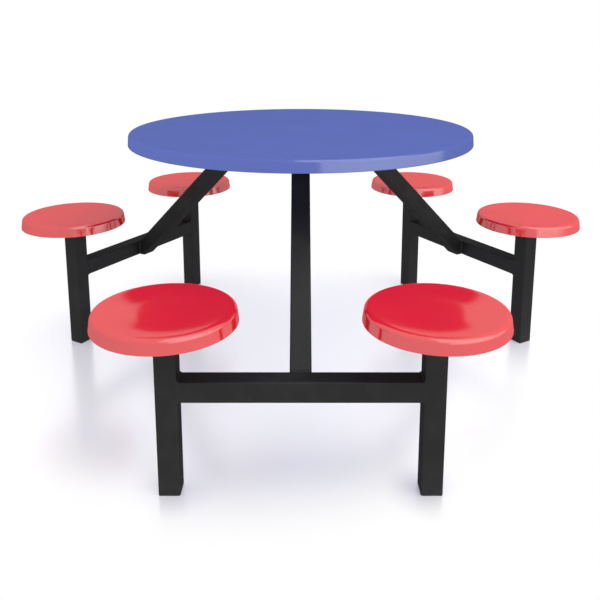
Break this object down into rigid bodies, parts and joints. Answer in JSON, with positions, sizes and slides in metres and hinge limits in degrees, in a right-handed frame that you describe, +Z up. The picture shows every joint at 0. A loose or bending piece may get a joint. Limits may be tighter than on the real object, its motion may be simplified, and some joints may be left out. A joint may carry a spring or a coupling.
{
  "type": "table with attached swivel seats",
  "caption": "Round canteen table with a moulded top and round swivel seats on a welded frame of square tube, joined by cross rails and leaning struts.",
  "frame": {"origin": "on the floor, at the middle of the footprint's bounding box; the table's axis stands 44.0 mm behind it", "axes": "+X to the right and +Y to the rear as seen from the pair of seats that stands nearest, +Z up"},
  "size_m": [1.8424, 1.6398, 0.75],
  "materials": {
    "top_gelcoat": "glossy blue gel coat on glass-reinforced plastic",
    "seat_gelcoat": "glossy red gel coat on glass-reinforced plastic",
    "frame_paint": "black powder coat on steel, semi-gloss",
    "plywood": "plywood sealed with black stain",
    "bush_nylon": "natural nylon",
    "foot_plastic": "black moulded polyethylene",
    "zinc_steel": "zinc-plated steel"
  },
  "bodies": {
    "frame": {"front_cross_rail": "frame_paint", "front_foot_inserts": "foot_plastic", "front_left_post": "frame_paint", "front_left_swivel_bushes": "bush_nylon", "front_left_swivel_housing": "frame_paint", "front_right_post": "frame_paint", "front_right_swivel_bushes": "bush_nylon", "front_right_swivel_housing": "frame_paint", "front_strut": "frame_paint", "front_top_plate": "frame_paint", "left_cross_rail": "frame_paint", "left_foot_inserts": "foot_plastic", "left_front_post": "frame_paint", "left_front_swivel_bushes": "bush_nylon", "left_front_swivel_housing": "frame_paint", "left_rear_post": "frame_paint", "left_rear_swivel_bushes": "bush_nylon", "left_rear_swivel_housing": "frame_paint", "left_strut": "frame_paint", "left_top_plate": "frame_paint", "right_cross_rail": "frame_paint", "right_foot_inserts": "foot_plastic", "right_front_post": "frame_paint", "right_front_swivel_bushes": "bush_nylon", "right_front_swivel_housing": "frame_paint", "right_rear_post": "frame_paint", "right_rear_swivel_bushes": "bush_nylon", "right_rear_swivel_housing": "frame_paint", "right_strut": "frame_paint", "right_top_plate": "frame_paint", "seat_set_screws": "zinc_steel", "table_top_core": "plywood", "table_top_shell": "top_gelcoat", "top_plate_bolts": "zinc_steel"},
    "front_left_seat": {"front_left_seat_shell": "seat_gelcoat", "front_left_seat_board": "plywood", "front_left_seat_spindle": "zinc_steel", "front_left_seat_screws": "zinc_steel"},
    "front_right_seat": {"front_right_seat_shell": "seat_gelcoat", "front_right_seat_board": "plywood", "front_right_seat_spindle": "zinc_steel", "front_right_seat_screws": "zinc_steel"},
    "right_front_seat": {"right_front_seat_shell": "seat_gelcoat", "right_front_seat_board": "plywood", "right_front_seat_spindle": "zinc_steel", "right_front_seat_screws": "zinc_steel"},
    "right_rear_seat": {"right_rear_seat_shell": "seat_gelcoat", "right_rear_seat_board": "plywood", "right_rear_seat_spindle": "zinc_steel", "right_rear_seat_screws": "zinc_steel"},
    "left_rear_seat": {"left_rear_seat_shell": "seat_gelcoat", "left_rear_seat_board": "plywood", "left_rear_seat_spindle": "zinc_steel", "left_rear_seat_screws": "zinc_steel"},
    "left_front_seat": {"left_front_seat_shell": "seat_gelcoat", "left_front_seat_board": "plywood", "left_front_seat_spindle": "zinc_steel", "left_front_seat_screws": "zinc_steel"}
  },
  "joints": [
    {"name": "front_left_swivel", "type": "hinge", "parent": "frame", "child": "front_left_seat", "pos_m": [-0.302, -0.65502, 0.4205], "axis": [0, 0, 1], "continuous": true},
    {"name": "front_right_swivel", "type": "hinge", "parent": "frame", "child": "front_right_seat", "pos_m": [0.302, -0.65502, 0.4205], "axis": [0, 0, 1], "continuous": true},
    {"name": "right_front_swivel", "type": "hinge", "parent": "frame", "child": "right_front_seat", "pos_m": [0.75635, 0.13194, 0.4205], "axis": [0, 0, 1], "continuous": true},
    {"name": "right_rear_swivel", "type": "hinge", "parent": "frame", "child": "right_rear_seat", "pos_m": [0.45435, 0.65502, 0.4205], "axis": [0, 0, 1], "continuous": true},
    {"name": "left_rear_swivel", "type": "hinge", "parent": "frame", "child": "left_rear_seat", "pos_m": [-0.45435, 0.65502, 0.4205], "axis": [0, 0, 1], "continuous": true},
    {"name": "left_front_swivel", "type": "hinge", "parent": "frame", "child": "left_front_seat", "pos_m": [-0.75635, 0.13194, 0.4205], "axis": [0, 0, 1], "continuous": true}
  ]
}
